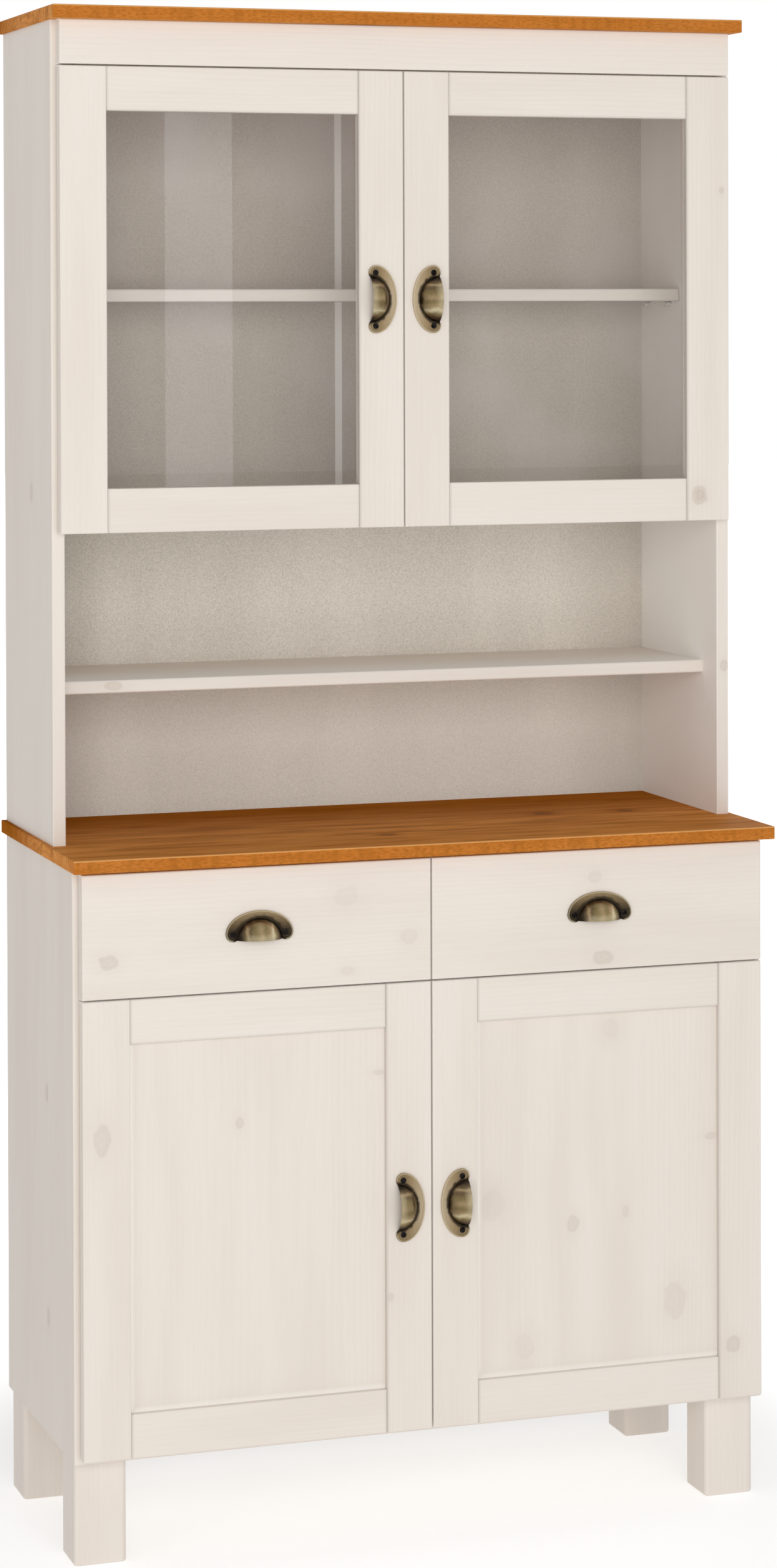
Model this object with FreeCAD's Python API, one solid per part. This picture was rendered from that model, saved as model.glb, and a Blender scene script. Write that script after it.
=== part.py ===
import FreeCAD, Part
import collections
import math
import os

from FreeCAD import Vector

os.makedirs("parts", exist_ok=True)

# Overall sizes of the cupboard, in millimetres
worktop_width = 900.0
worktop_depth = 390.0
worktop_height = 850.0
overall_height = 1865.0
top_depth = 295.5

# Boards: thickness, and how their edges are eased
board = 16.0
back_panel = 3.0
slab_round = 1.2
slab_corner = 1.5
board_ease = 1.5
shelf_ease = 2.5

# How far the slabs overhang the sides and the fronts
side_inset = 6.0
top_side_overhang = 5.0
worktop_overhang = 15.0
top_overhang = 17.0

# Sides: how far they keep from the back plane, and their joints
back_inset = 3.0
rebate_width = 8.0
housing_depth = 5.0
housing_stop = 20.0

# Feet
foot_height = 127.0
foot_width = 64.0
foot_side_inset = 4.0
foot_front_inset = 17.5
foot_back_inset = 2.0
foot_round = 6.0
foot_ease = 3.0

# Shelves: their heights, and how far their front edges stand back from the sides' front edges
open_shelf_rise = 194.0
open_shelf_setback = 47.0
glazed_shelf_over_middle = 13.75
glazed_shelf_setback = 122.0
base_shelf_over_middle = 9.5
base_shelf_setback = 35.5
shelf_side_gap = 1.0
shelf_back_gap = 1.2

# Pins that carry the loose shelves
pin_radius = 2.5
pin_in_side = 8.0
pin_head_radius = 3.5
pin_head_length = 9.0
pin_play = 0.05
pin_rest_gap = 0.1
pin_from_edge = 30.0

# Strip that joins the two back panels behind the glass
strip_width = 9.4
strip_flange = 0.8
strip_web = 1.6

# Fronts: doors, drawer fronts and the frieze over the glazed doors
front_thickness = 18.0
front_ease = 1.5
front_side_inset = 7.0
front_standoff = 1.5
reveal = 2.0
frieze_height = 54.0
open_height = 378.5
hutch_floor_rise = 2.5
drawer_top_gap = 3.5
drawer_front_height = 148.5
base_door_rise = 7.0

# Door frames, with mortise and tenon corners
stile_width = 58.0
hutch_rail = 54.0
base_rail = 53.0
tenon_length = 25.0
tenon_thickness = 6.0
tenon_shoulder = 10.0
glue_gap = 0.1

# What fills the frames
glass_lip = 8.0
glass_thickness = 4.0
glass_play = 0.5
bead_round = 3.0
panel_setback = 7.0
panel_thickness = 6.0
panel_play = 0.2
frame_reach = 7.5

# Concealed hinges: the cup in the door and the arm on the side
hinge_round = 3.0
hinge_from_end = 80.0
cup_radius = 17.5
cup_depth = 11.5
cup_wall = 1.0
cup_edge = 22.0
cup_play = 0.05
ear_offset = 9.5
ear_width = 12.0
ear_span = 56.0
ear_thickness = 1.0
ear_round = 5.0
plate_thickness = 2.5
plate_height = 46.0
plate_length = 20.0
plate_setback = 27.0
plate_round = 4.0
arm_height = 14.0
arm_rise = 14.0
arm_length = 58.0
arm_neck = 12.0
arm_ease = 2.0
tip_width = 12.0
tip_gap = 0.3

# Cup pulls and their screws
pull_length = 84.0
pull_height = 36.5
pull_proud = 18.0
pull_flange = 2.5
pull_lobe = 9.0
pull_rim = 1.8
pull_dish = 0.6
pull_edge = 0.5
pull_blend = 1.0
pull_wall = 1.6
lip_rise = 1.6
dome_width = 60.0
dome_height = 26.7
screw_spacing = 66.0
screw_head_radius = 3.7
screw_dome = 0.9
screw_radius = 1.75
screw_length = 12.0
screw_tip = 2.5
screw_play = 0.05
slot_length = 4.4
slot_width = 0.9
slot_depth = 1.1
pull_from_meeting = 10.5
drawer_pull_rise = 60.0

# Drawer boxes and their runners
drawer_gap = 4.0
drawer_floor_gap = 8.0
drawer_side = 14.0
drawer_side_height = 104.0
drawer_rear_gap = 31.0
drawer_back = 12.0
drawer_housing = 8.0
drawer_bottom = 4.0
bottom_rise = 10.0
bottom_groove = 6.0
bottom_play = 0.2
runner_height = 10.0
runner_rise = 50.0
runner_rear_gap = 6.0
runner_setback = 13.5
runner_play = 0.3
runner_groove = 7.0
groove_stop_gap = 1.0
runner_ease = 1.0

# Turns of the pulls about the depth, in degrees: open side to the hinges, or down
door_pull_turn = -90
drawer_pull_turn = 0

# Cuts pass the faces by the overrun, and edges are matched to planes this closely
overrun = 2.0
match = 0.001

# Planes that follow from the sizes; depths are measured forward from the back plane
base_face = worktop_depth - worktop_overhang
hutch_face = top_depth - top_overhang
base_depth = base_face - front_thickness - front_standoff
hutch_depth = hutch_face - front_thickness - front_standoff
overall_depth = max(worktop_depth, base_face + pull_proud)
back = overall_depth / 2
side_half = worktop_width / 2 - side_inset
inner_half = side_half - board
top_width = 2 * (side_half + top_side_overhang)
front_half = side_half - front_side_inset
panel_front = back_inset + back_panel
worktop_bottom = worktop_height - board
top_bottom = overall_height - board
frieze_bottom = top_bottom - frieze_height
drawer_front_top = worktop_bottom - drawer_top_gap
drawer_front_bottom = drawer_front_top - drawer_front_height
drawer_board_bottom = drawer_front_bottom - reveal / 2 - board / 2
drawer_board_top = drawer_board_bottom + board
hutch_door_bottom = worktop_height + open_height
hutch_floor_bottom = hutch_door_bottom + hutch_floor_rise
hutch_floor_top = hutch_floor_bottom + board
backs_meet = hutch_floor_bottom + board / 2
opening_from = reveal / 2 + stile_width
opening_to = front_half - stile_width
cup_centre = front_half - cup_edge
open_shelf_bottom = worktop_height + open_shelf_rise - board
open_shelf_depth = hutch_depth - open_shelf_setback
glazed_shelf_depth = hutch_depth - glazed_shelf_setback
base_shelf_depth = base_depth - base_shelf_setback
drawer_rear = panel_front + drawer_rear_gap
box_from = board / 2 + drawer_gap
box_to = inner_half - drawer_gap
box_bottom = drawer_board_top + drawer_floor_gap
box_top = box_bottom + drawer_side_height
floor_bottom = box_bottom + bottom_rise
floor_top = floor_bottom + drawer_bottom
runner_front = base_depth - runner_setback
runner_rear = panel_front + runner_rear_gap
runner_bottom = box_bottom + runner_rise

DoorPlan = collections.namedtuple("DoorPlan", "face bottom top rail pocket_back pocket_front")
hutch_door = DoorPlan(
    face=hutch_face,
    bottom=hutch_door_bottom,
    top=frieze_bottom - reveal,
    rail=hutch_rail,
    pocket_back=hutch_face - front_thickness - overrun,
    pocket_front=hutch_face - glass_lip,
)
base_door = DoorPlan(
    face=base_face,
    bottom=foot_height + base_door_rise,
    top=drawer_front_bottom - reveal,
    rail=base_rail,
    pocket_back=base_face - panel_setback - panel_thickness - panel_play,
    pocket_front=base_face - panel_setback,
)


def middle(plan):
    """Half the height of a door."""
    return (plan.bottom + plan.top) / 2


glazed_shelf_top = middle(hutch_door) + glazed_shelf_over_middle
base_shelf_top = middle(base_door) + base_shelf_over_middle


def block(x_from, x_to, depth_from, depth_to, z_from, z_to):
    """A straight board; depths run forward from the back plane."""
    corner = Vector(x_from, back - depth_to, z_from)
    return Part.makeBox(x_to - x_from, depth_to - depth_from, z_to - z_from, corner)


def other_hand(shape):
    """The left-hand twin of a right-hand piece."""
    return shape.mirror(Vector(0, 0, 0), Vector(1, 0, 0))


def edges_in(shape, **planes):
    """Edges that lie in every one of the given planes, such as x=0."""
    found = []
    for edge in shape.Edges:
        box = edge.BoundBox
        low = {"x": box.XMin, "y": box.YMin, "z": box.ZMin}
        high = {"x": box.XMax, "y": box.YMax, "z": box.ZMax}
        if all(abs(low[a] - p) < match and abs(high[a] - p) < match for a, p in planes.items()):
            found.append(edge)
    return found


def edges_along(shape, axis):
    """Straight edges that run along one axis."""
    found = []
    for edge in shape.Edges:
        box = edge.BoundBox
        spans = {"x": box.XLength, "y": box.YLength, "z": box.ZLength}
        if all(span < match for name, span in spans.items() if name != axis):
            found.append(edge)
    return found


def rod(radius, length, x, depth, z, direction):
    """A round rod that starts at a point and runs along a direction."""
    return Part.makeCylinder(radius, length, Vector(x, back - depth, z), direction)


def save(name, *solids):
    """Write one node; pieces that share it stay separate solids."""
    shape = solids[0] if len(solids) == 1 else Part.makeCompound(list(solids))
    shape.exportStep("parts/" + name + ".step")


# Slabs: the worktop and the top board, with rounded ends and front
def slab(width, depth, z_from, z_to):
    shape = block(-width / 2, width / 2, 0, depth, z_from, z_to)
    front = back - depth
    corners = edges_in(shape, y=front, x=-width / 2) + edges_in(shape, y=front, x=width / 2)
    shape = shape.makeFillet(slab_corner, corners)
    rims = edges_in(shape, z=z_from) + edges_in(shape, z=z_to)
    rear = {edge.hashCode() for edge in edges_in(shape, y=back)}
    return shape.makeFillet(slab_round, [edge for edge in rims if edge.hashCode() not in rear])


# Sides: rebated for the back, and housed for the boards between them
def side(depth, z_from, z_to, housings, pins):
    shape = block(inner_half, side_half, back_inset, depth, z_from, z_to)
    shape = shape.makeFillet(board_ease, edges_along_front(shape, depth))
    cut_from = inner_half - overrun
    low = z_from - overrun
    high = z_to + overrun
    rebate_to = inner_half + rebate_width
    shape = shape.cut(block(cut_from, rebate_to, back_inset - overrun, panel_front, low, high))
    groove_to = inner_half + housing_depth
    for bottom, front in housings:
        groove = block(cut_from, groove_to, back_inset, front - housing_stop, bottom, bottom + board)
        shape = shape.cut(groove)
    radius = pin_radius + pin_play
    length = pin_in_side + pin_play
    for pin_depth, height in pins:
        shape = shape.cut(rod(radius, length, inner_half, pin_depth, height, Vector(1, 0, 0)))
    return shape


def edges_along_front(shape, depth):
    """The upright edges of a side at its front."""
    upright = {edge.hashCode() for edge in edges_along(shape, "z")}
    return [edge for edge in edges_in(shape, y=back - depth) if edge.hashCode() in upright]


# Boards between the sides, with a tongue at each end for its housing
def housed_board(bottom, front):
    shape = block(-inner_half, inner_half, panel_front, front, bottom, bottom + board)
    reach = inner_half + housing_depth
    tongue = block(-reach, reach, panel_front, front - housing_stop, bottom, bottom + board)
    return shape.fuse(tongue).removeSplitter()


def ease_front_edges(shape, front, radius):
    """Round the two level edges at the front of a shelf or runner."""
    long_edges = {edge.hashCode() for edge in edges_along(shape, "x")}
    picked = [edge for edge in edges_in(shape, y=back - front) if edge.hashCode() in long_edges]
    return shape.makeFillet(radius, picked)


def loose_shelf(top, front):
    half = inner_half - shelf_side_gap
    shape = block(-half, half, panel_front + shelf_back_gap, front, top - board, top)
    return ease_front_edges(shape, front, shelf_ease)


def pin_places(top, front):
    """Depth and height of the pins under one end of a loose shelf."""
    height = top - board - pin_rest_gap - pin_head_radius
    return [(panel_front + pin_from_edge, height), (front - pin_from_edge, height)]


def shelf_pin(depth, height):
    shank = rod(pin_radius, pin_in_side, inner_half, depth, height, Vector(1, 0, 0))
    head = rod(pin_head_radius, pin_head_length, inner_half, depth, height, Vector(-1, 0, 0))
    return shank.fuse(head)


# Feet: square legs with rounded corners and eased soles
def foot(x_from, depth_from):
    shape = block(x_from, x_from + foot_width, depth_from, depth_from + foot_width, 0, foot_height)
    shape = shape.makeFillet(foot_round, edges_along(shape, "z"))
    return shape.makeFillet(foot_ease, edges_in(shape, z=0))


def feet():
    x_from = side_half - foot_side_inset - foot_width
    depths = (back_inset + foot_back_inset, base_depth - foot_front_inset - foot_width)
    right = [foot(x_from, depth) for depth in depths]
    return right + [other_hand(shape) for shape in right]


# Back panels behind the glass and the strip that joins them
def glazed_back():
    return block(strip_web / 2, inner_half + rebate_width, back_inset, panel_front, backs_meet, top_bottom)


def back_joint_strip():
    half = strip_width / 2
    web = block(-strip_web / 2, strip_web / 2, back_inset, panel_front, hutch_floor_top, top_bottom)
    front = block(-half, half, panel_front, panel_front + strip_flange, hutch_floor_top, top_bottom)
    rear = block(-half, half, back_inset - strip_flange, back_inset, hutch_floor_top, top_bottom)
    return web.fuse([front, rear]).removeSplitter()


# Fronts: every front board has all edges of its face eased
def front_board(x_from, x_to, face, z_from, z_to, thickness):
    shape = block(x_from, x_to, face - thickness, face, z_from, z_to)
    return shape.makeFillet(front_ease, edges_in(shape, y=back - face))


# Door frames, modelled right-handed: stiles run through and rails are tenoned into them
def frame_pocket(plan):
    """The rebate or groove that holds the glass or panel, cut round the opening."""
    x_from = opening_from - frame_reach
    x_to = opening_to + frame_reach
    z_from = plan.bottom + plan.rail - frame_reach
    z_to = plan.top - plan.rail + frame_reach
    return block(x_from, x_to, plan.pocket_back, plan.pocket_front, z_from, z_to)


def rail_heights(plan):
    return [(plan.bottom, plan.bottom + plan.rail), (plan.top - plan.rail, plan.top)]


def tenon(plan, z_from, z_to, gap):
    depth = plan.face - front_thickness / 2
    half = tenon_thickness / 2 + gap
    x_from = opening_from - tenon_length - gap
    x_to = opening_to + tenon_length + gap
    low = z_from + tenon_shoulder - gap
    high = z_to - tenon_shoulder + gap
    return block(x_from, x_to, depth - half, depth + half, low, high)


def door_rails(plan):
    rails = []
    for z_from, z_to in rail_heights(plan):
        rail = front_board(opening_from, opening_to, plan.face, z_from, z_to, front_thickness)
        rail = rail.fuse(tenon(plan, z_from, z_to, 0))
        rails.append(rail.cut(frame_pocket(plan)))
    return rails


def mortised(stile, plan):
    for z_from, z_to in rail_heights(plan):
        stile = stile.cut(tenon(plan, z_from, z_to, glue_gap))
    return stile.cut(frame_pocket(plan))


def hinge_heights(plan):
    return [plan.bottom + hinge_from_end, plan.top - hinge_from_end]


def hinge_stile(plan):
    """The outer stile; its rounded back edge is centred on the hinge line."""
    back_face = plan.face - front_thickness
    stile = front_board(opening_to, front_half, plan.face, plan.bottom, plan.top, front_thickness)
    knuckle = edges_in(stile, x=front_half, y=back - back_face)
    stile = mortised(stile.makeFillet(hinge_round, knuckle), plan)
    for height in hinge_heights(plan):
        radius = cup_radius + cup_play
        bore = rod(radius, cup_depth + overrun, cup_centre, back_face - overrun, height, Vector(0, -1, 0))
        stile = stile.cut(bore)
    return stile


def meeting_stile(plan):
    """The stile beside the meeting gap, drilled for the pull."""
    stile = front_board(reveal / 2, opening_from, plan.face, plan.bottom, plan.top, front_thickness)
    x, height = door_pull_place(plan)
    return drilled(mortised(stile, plan), plan.face, x, height, door_pull_turn)


def glass_pane(plan):
    x_from = opening_from - frame_reach + glass_play
    x_to = opening_to + frame_reach - glass_play
    z_from = plan.bottom + plan.rail - frame_reach + glass_play
    z_to = plan.top - plan.rail + frame_reach - glass_play
    return block(x_from, x_to, plan.pocket_front - glass_thickness, plan.pocket_front, z_from, z_to)


def glazing_beads(plan):
    """Four strips that hold the glass from behind, rounded towards the opening."""
    rear = plan.face - front_thickness
    front = plan.pocket_front - glass_thickness
    low = plan.bottom + plan.rail
    high = plan.top - plan.rail
    below = low - frame_reach
    above = high + frame_reach
    beads = []
    for x_from, inner in ((opening_from - frame_reach, opening_from), (opening_to, opening_to)):
        upright = block(x_from, x_from + frame_reach, rear, front, below, above)
        beads.append(upright.makeFillet(bead_round, edges_in(upright, x=inner, y=back - rear)))
    for z_from, inner in ((below, low), (high, high)):
        level = block(opening_from, opening_to, rear, front, z_from, z_from + frame_reach)
        beads.append(level.makeFillet(bead_round, edges_in(level, z=inner, y=back - rear)))
    return beads


def door_panel(plan):
    reach = frame_reach - panel_play
    low = plan.bottom + plan.rail - reach
    high = plan.top - plan.rail + reach
    rear = plan.pocket_front - panel_thickness
    return block(opening_from - reach, opening_to + reach, rear, plan.pocket_front, low, high)


# Concealed hinges, right-handed
def hinge_cup(plan, height):
    back_face = plan.face - front_thickness
    inward = Vector(0, -1, 0)
    bowl = rod(cup_radius, cup_depth, cup_centre, back_face, height, inward)
    ear_centre = cup_centre - ear_offset
    ears = block(
        ear_centre - ear_width / 2,
        ear_centre + ear_width / 2,
        back_face - ear_thickness,
        back_face,
        height - ear_span / 2,
        height + ear_span / 2,
    )
    ears = ears.makeFillet(ear_round, edges_along(ears, "y"))
    hollow_from = back_face - ear_thickness - overrun
    hollow_length = cup_depth - cup_wall + ear_thickness + overrun
    hollow = rod(cup_radius - cup_wall, hollow_length, cup_centre, hollow_from, height, inward)
    return bowl.fuse(ears).cut(hollow).removeSplitter()


def hinge_arm(plan, height):
    """A mounting plate on the side, and an arm that reaches into the cup."""
    back_face = plan.face - front_thickness
    side_front = back_face - front_standoff
    plate_face = inner_half - plate_thickness
    plate_front = side_front - plate_setback
    plate_rear = plate_front - plate_length
    plate_low = height - plate_height / 2
    plate = block(plate_face, inner_half, plate_rear, plate_front, plate_low, plate_low + plate_height)
    plate = plate.makeFillet(plate_round, edges_along(plate, "x"))
    tip_end = back_face + cup_depth - cup_wall - tip_gap
    tail = side_front - arm_length
    neck = side_front - arm_neck
    tip_out = cup_centre + tip_width / 2
    tip_in = cup_centre - tip_width / 2
    outline = [
        (plate_face, tail),
        (plate_face, neck),
        (tip_out, side_front),
        (tip_out, tip_end),
        (tip_in, tip_end),
        (tip_in, side_front),
        (plate_face - arm_rise, neck),
        (plate_face - arm_rise, tail),
    ]
    low = height - arm_height / 2
    points = [Vector(x, back - depth, low) for x, depth in outline]
    face = Part.Face(Part.makePolygon(points + points[:1]))
    arm = face.extrude(Vector(0, 0, arm_height))
    nose = edges_in(arm, y=back - tip_end)
    heel = edges_in(arm, y=back - tail, x=plate_face - arm_rise)
    arm = arm.makeFillet(arm_ease, nose + heel)
    return plate.fuse(arm).removeSplitter()


# Cup pulls: a dished flange and a hollow quarter dome, modelled with the open side down,
# the middle of the straight edge at the origin and the face of the front board at Y zero
def dome(width, height, proud, axis_behind):
    """A filled quarter dome over the lip: an arch turned about a line behind the front board."""
    left = Vector(-width / 2, 0, 0)
    right = Vector(width / 2, 0, 0)
    crown = Vector(0, -proud, 0)
    arch = Part.Arc(left, crown, right).toShape()
    face = Part.Face(Part.Wire([arch, Part.makeLine(right, left)]))
    quarter_turn = -90
    solid = face.revolve(Vector(0, axis_behind, 0), Vector(1, 0, 0), quarter_turn)
    reach = width + height + proud
    behind = Part.makeBox(reach, reach, reach, Vector(-reach / 2, 0, -reach / 2))
    solid = solid.cut(behind)
    solid.translate(Vector(0, 0, lip_rise))
    return solid


def flange_plate(inset, thickness):
    """Half an oval over two round lobes, with a straight edge between them, drawn in by the inset."""
    half = pull_length / 2 - inset
    lobe = pull_lobe - inset
    level = half - lobe
    drop = pull_lobe - lip_rise - inset
    edge_half = level - math.sqrt(lobe**2 - drop**2)
    oval = Part.Ellipse(Vector(0, 0, 0), half, pull_height - pull_lobe - inset)
    crown = Part.ArcOfEllipse(oval, 0, math.pi).toShape()
    lobes = []
    for hand in (-1, 1):
        outer = Vector(hand * half, 0, 0)
        lowest = Vector(hand * level, -lobe, 0)
        inner = Vector(hand * edge_half, -drop, 0)
        lobes.append(Part.Arc(outer, lowest, inner).toShape())
    edge = Part.makeLine(Vector(-edge_half, -drop, 0), Vector(edge_half, -drop, 0))
    left_lobe, right_lobe = lobes
    plate = Part.Face(Part.Wire([crown, left_lobe, edge, right_lobe])).extrude(Vector(0, 0, thickness))
    plate.translate(Vector(0, pull_lobe, 0))
    plate.rotate(Vector(0, 0, 0), Vector(1, 0, 0), 90)
    return plate


def screw_places():
    return [(-screw_spacing / 2, pull_lobe), (screw_spacing / 2, pull_lobe)]


def screw_seat():
    """Height of the screw head's rim over the front board."""
    return pull_flange - pull_dish


def screw_shape(x, z, play, with_slot):
    """A raised countersunk screw, or with play the hole that takes it."""
    rim = screw_seat()
    head = screw_head_radius + play
    shank = screw_radius + play
    neck = rim - (screw_head_radius - screw_radius)
    crown = Vector(0, -rim - screw_dome, 0)
    edge = Vector(head, -rim, 0)
    half_way = Vector(head / math.sqrt(2), -rim - screw_dome / 2, 0)
    point = Vector(0, screw_length + screw_tip, 0)
    corners = [edge, Vector(shank, -neck, 0), Vector(shank, screw_length, 0), point, crown]
    lines = [Part.makeLine(a, b) for a, b in zip(corners, corners[1:])]
    profile = Part.Wire([Part.Arc(crown, half_way, edge).toShape()] + lines)
    full_turn = 360
    solid = Part.Face(profile).revolve(Vector(0, 0, 0), Vector(0, 1, 0), full_turn)
    if with_slot:
        top = -rim - screw_dome - overrun
        deep = overrun + slot_depth
        for across, along in ((slot_width, slot_length), (slot_length, slot_width)):
            corner = Vector(-across / 2, top, -along / 2)
            solid = solid.cut(Part.makeBox(across, deep, along, corner))
    solid.translate(Vector(x, 0, z))
    return solid


def screw_clearance(x, z):
    """The countersunk hole in the flange and the open space over the head."""
    hole = screw_shape(x, z, screw_play, False)
    rim = Vector(x, -screw_seat(), z)
    over = Part.makeCylinder(screw_head_radius + screw_play, pull_flange, rim, Vector(0, -1, 0))
    return hole.fuse(over)


def cup_pull():
    axis_behind = (dome_height**2 / pull_proud - pull_proud) / 2
    outer = dome(dome_width, dome_height, pull_proud, axis_behind)
    inner_width = dome_width - 2 * pull_wall
    inner = dome(inner_width, dome_height, pull_proud - pull_wall, axis_behind)
    flange = flange_plate(0, pull_flange)
    flange = flange.makeFillet(pull_edge, edges_in(flange, y=-pull_flange))
    dish = flange_plate(pull_rim, pull_dish + overrun)
    dish.translate(Vector(0, -screw_seat(), 0))
    pull = flange.cut(dish).fuse(outer).removeSplitter()
    dome_top = dome_height + lip_rise
    foot_lines = [edge for edge in edges_in(pull, y=-screw_seat()) if edge.BoundBox.ZMax < dome_top]
    root = max(foot_lines, key=lambda edge: edge.Length)
    pull = pull.makeFillet(pull_blend, [root]).cut(inner)
    for x, z in screw_places():
        pull = pull.cut(screw_clearance(x, z))
    return pull


def placed(shape, face, x, z, turn):
    """Turn a pull or its screws about the depth and set it on a front board."""
    moved = shape.copy()
    moved.rotate(Vector(0, 0, 0), Vector(0, 1, 0), turn)
    moved.translate(Vector(x, back - face, z))
    return moved


def drilled(front, face, x, z, turn):
    """Screw holes for a pull in the board that carries it."""
    for screw_x, screw_z in screw_places():
        hole = screw_shape(screw_x, screw_z, screw_play, False)
        front = front.cut(placed(hole, face, x, z, turn))
    return front


def door_pull_place(plan):
    return pull_from_meeting + pull_height, middle(plan)


def drawer_pull_place():
    return (reveal / 2 + front_half) / 2, drawer_front_bottom + drawer_pull_rise


def pull_screws(face, x, z, turn):
    return [placed(screw_shape(*at, 0, True), face, x, z, turn) for at in screw_places()]


# Drawers, right-handed: an overlay front housed onto two grooved sides
def drawer_sides():
    """The two sides without grooves; their front ends enter the drawer front."""
    front = base_face - front_thickness + drawer_housing
    starts = (box_from, box_to - drawer_side)
    return [block(x, x + drawer_side, drawer_rear, front, box_bottom, box_top) for x in starts]


def drawer_floor(play):
    """The bottom panel, or with play the groove that takes it."""
    x_from = box_from + drawer_side - bottom_groove + bottom_play - play
    x_to = box_to - drawer_side + bottom_groove - bottom_play + play
    front = base_face - front_thickness + bottom_groove - bottom_play + play
    return block(x_from, x_to, drawer_rear - play, front, floor_bottom, floor_top)


def grooved_drawer_sides():
    low = runner_bottom - runner_play
    high = runner_bottom + runner_height + runner_play
    groove_front = runner_front + groove_stop_gap
    spans = (
        (box_from - overrun, box_from + runner_groove),
        (box_to - runner_groove, box_to + overrun),
    )
    sides = []
    for shape, (x_from, x_to) in zip(drawer_sides(), spans):
        shape = shape.cut(block(x_from, x_to, drawer_rear - overrun, groove_front, low, high))
        sides.append(shape.cut(drawer_floor(bottom_play)))
    return sides


def drawer_front():
    low = drawer_front_bottom
    high = drawer_front_top
    front = front_board(reveal / 2, front_half, base_face, low, high, front_thickness)
    for shape in drawer_sides():
        front = front.cut(shape)
    front = front.cut(drawer_floor(bottom_play))
    return drilled(front, base_face, *drawer_pull_place(), drawer_pull_turn)


def drawer_back_board():
    x_from = box_from + drawer_side
    x_to = box_to - drawer_side
    return block(x_from, x_to, drawer_rear, drawer_rear + drawer_back, floor_top, box_top)


def drawer_runners():
    """Two runners of the right drawer: one on the divider and one on the side."""
    reach = drawer_gap + runner_groove - runner_play
    low = runner_bottom
    high = runner_bottom + runner_height
    runners = []
    for x_from in (board / 2, inner_half - reach):
        shape = block(x_from, x_from + reach, runner_rear, runner_front, low, high)
        runners.append(ease_front_edges(shape, runner_front, runner_ease))
    return runners


def save_carcass():
    base_pins = pin_places(base_shelf_top, base_shelf_depth)
    glazed_pins = pin_places(glazed_shelf_top, glazed_shelf_depth)
    hutch_housings = [(open_shelf_bottom, open_shelf_depth), (hutch_floor_bottom, hutch_depth)]
    base_side = side(base_depth, foot_height, worktop_bottom, [(drawer_board_bottom, base_depth)], base_pins)
    hutch_side = side(hutch_depth, worktop_height, top_bottom, hutch_housings, glazed_pins)
    save("base_side_right", base_side)
    save("base_side_left", other_hand(base_side))
    save("hutch_side_right", hutch_side)
    save("hutch_side_left", other_hand(hutch_side))
    save("worktop", slab(worktop_width, worktop_depth, worktop_bottom, worktop_height))
    save("hutch_top", slab(top_width, top_depth, top_bottom, overall_height))
    save("feet", *feet())
    bottom_top = foot_height + board
    save("base_bottom", block(-inner_half, inner_half, panel_front, base_depth, foot_height, bottom_top))
    panel_half = inner_half + rebate_width
    save("base_back", block(-panel_half, panel_half, back_inset, panel_front, foot_height, worktop_bottom))
    save("open_back", block(-panel_half, panel_half, back_inset, panel_front, worktop_height, backs_meet))
    save("glazed_backs", glazed_back(), other_hand(glazed_back()))
    save("back_joint_strip", back_joint_strip())
    save("drawer_board", housed_board(drawer_board_bottom, base_depth))
    half = board / 2
    save("drawer_divider", block(-half, half, panel_front, base_depth, drawer_board_top, worktop_bottom))
    save("hutch_floor", housed_board(hutch_floor_bottom, hutch_depth))
    open_shelf = housed_board(open_shelf_bottom, open_shelf_depth)
    save("open_shelf", ease_front_edges(open_shelf, open_shelf_depth, shelf_ease))
    save("glazed_shelf", loose_shelf(glazed_shelf_top, glazed_shelf_depth))
    save("base_shelf", loose_shelf(base_shelf_top, base_shelf_depth))
    pins = [shelf_pin(*place) for place in base_pins + glazed_pins]
    save("shelf_pins", *pins, *[other_hand(pin) for pin in pins])
    runners = drawer_runners()
    save("drawer_runners", *runners, *[other_hand(runner) for runner in runners])
    thick = front_thickness + front_standoff
    save("frieze", front_board(-front_half, front_half, hutch_face, frieze_bottom, top_bottom, thick))
    arms = [hinge_arm(plan, height) for plan in (hutch_door, base_door) for height in hinge_heights(plan)]
    save("hinge_arms", *arms, *[other_hand(arm) for arm in arms])


def save_pair(name, *solids):
    """Write a right-hand node and its left-hand twin."""
    save(name.format("right"), *solids)
    save(name.format("left"), *[other_hand(solid) for solid in solids])


def save_pull(name, pull, face, x, z, turn):
    save_pair(name + "_pull", placed(pull, face, x, z, turn))
    save_pair(name + "_pull_screws", *pull_screws(face, x, z, turn))


def save_doors(pull):
    for name, plan in (("hutch_door_{}", hutch_door), ("base_door_{}", base_door)):
        save_pair(name + "_stiles", hinge_stile(plan), meeting_stile(plan))
        save_pair(name + "_rails", *door_rails(plan))
        save_pair(name + "_hinge_cups", *[hinge_cup(plan, height) for height in hinge_heights(plan)])
        save_pull(name, pull, plan.face, *door_pull_place(plan), door_pull_turn)
    save_pair("hutch_door_{}_glass", glass_pane(hutch_door))
    save_pair("hutch_door_{}_beads", *glazing_beads(hutch_door))
    save_pair("base_door_{}_panel", door_panel(base_door))


def save_drawers(pull):
    save_pair("drawer_{}_front", drawer_front())
    save_pair("drawer_{}_sides", *grooved_drawer_sides())
    save_pair("drawer_{}_back", drawer_back_board())
    save_pair("drawer_{}_bottom", drawer_floor(0))
    save_pull("drawer_{}", pull, base_face, *drawer_pull_place(), drawer_pull_turn)


the_pull = cup_pull()
save_carcass()
save_doors(the_pull)
save_drawers(the_pull)
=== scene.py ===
# %% [markdown]
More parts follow.
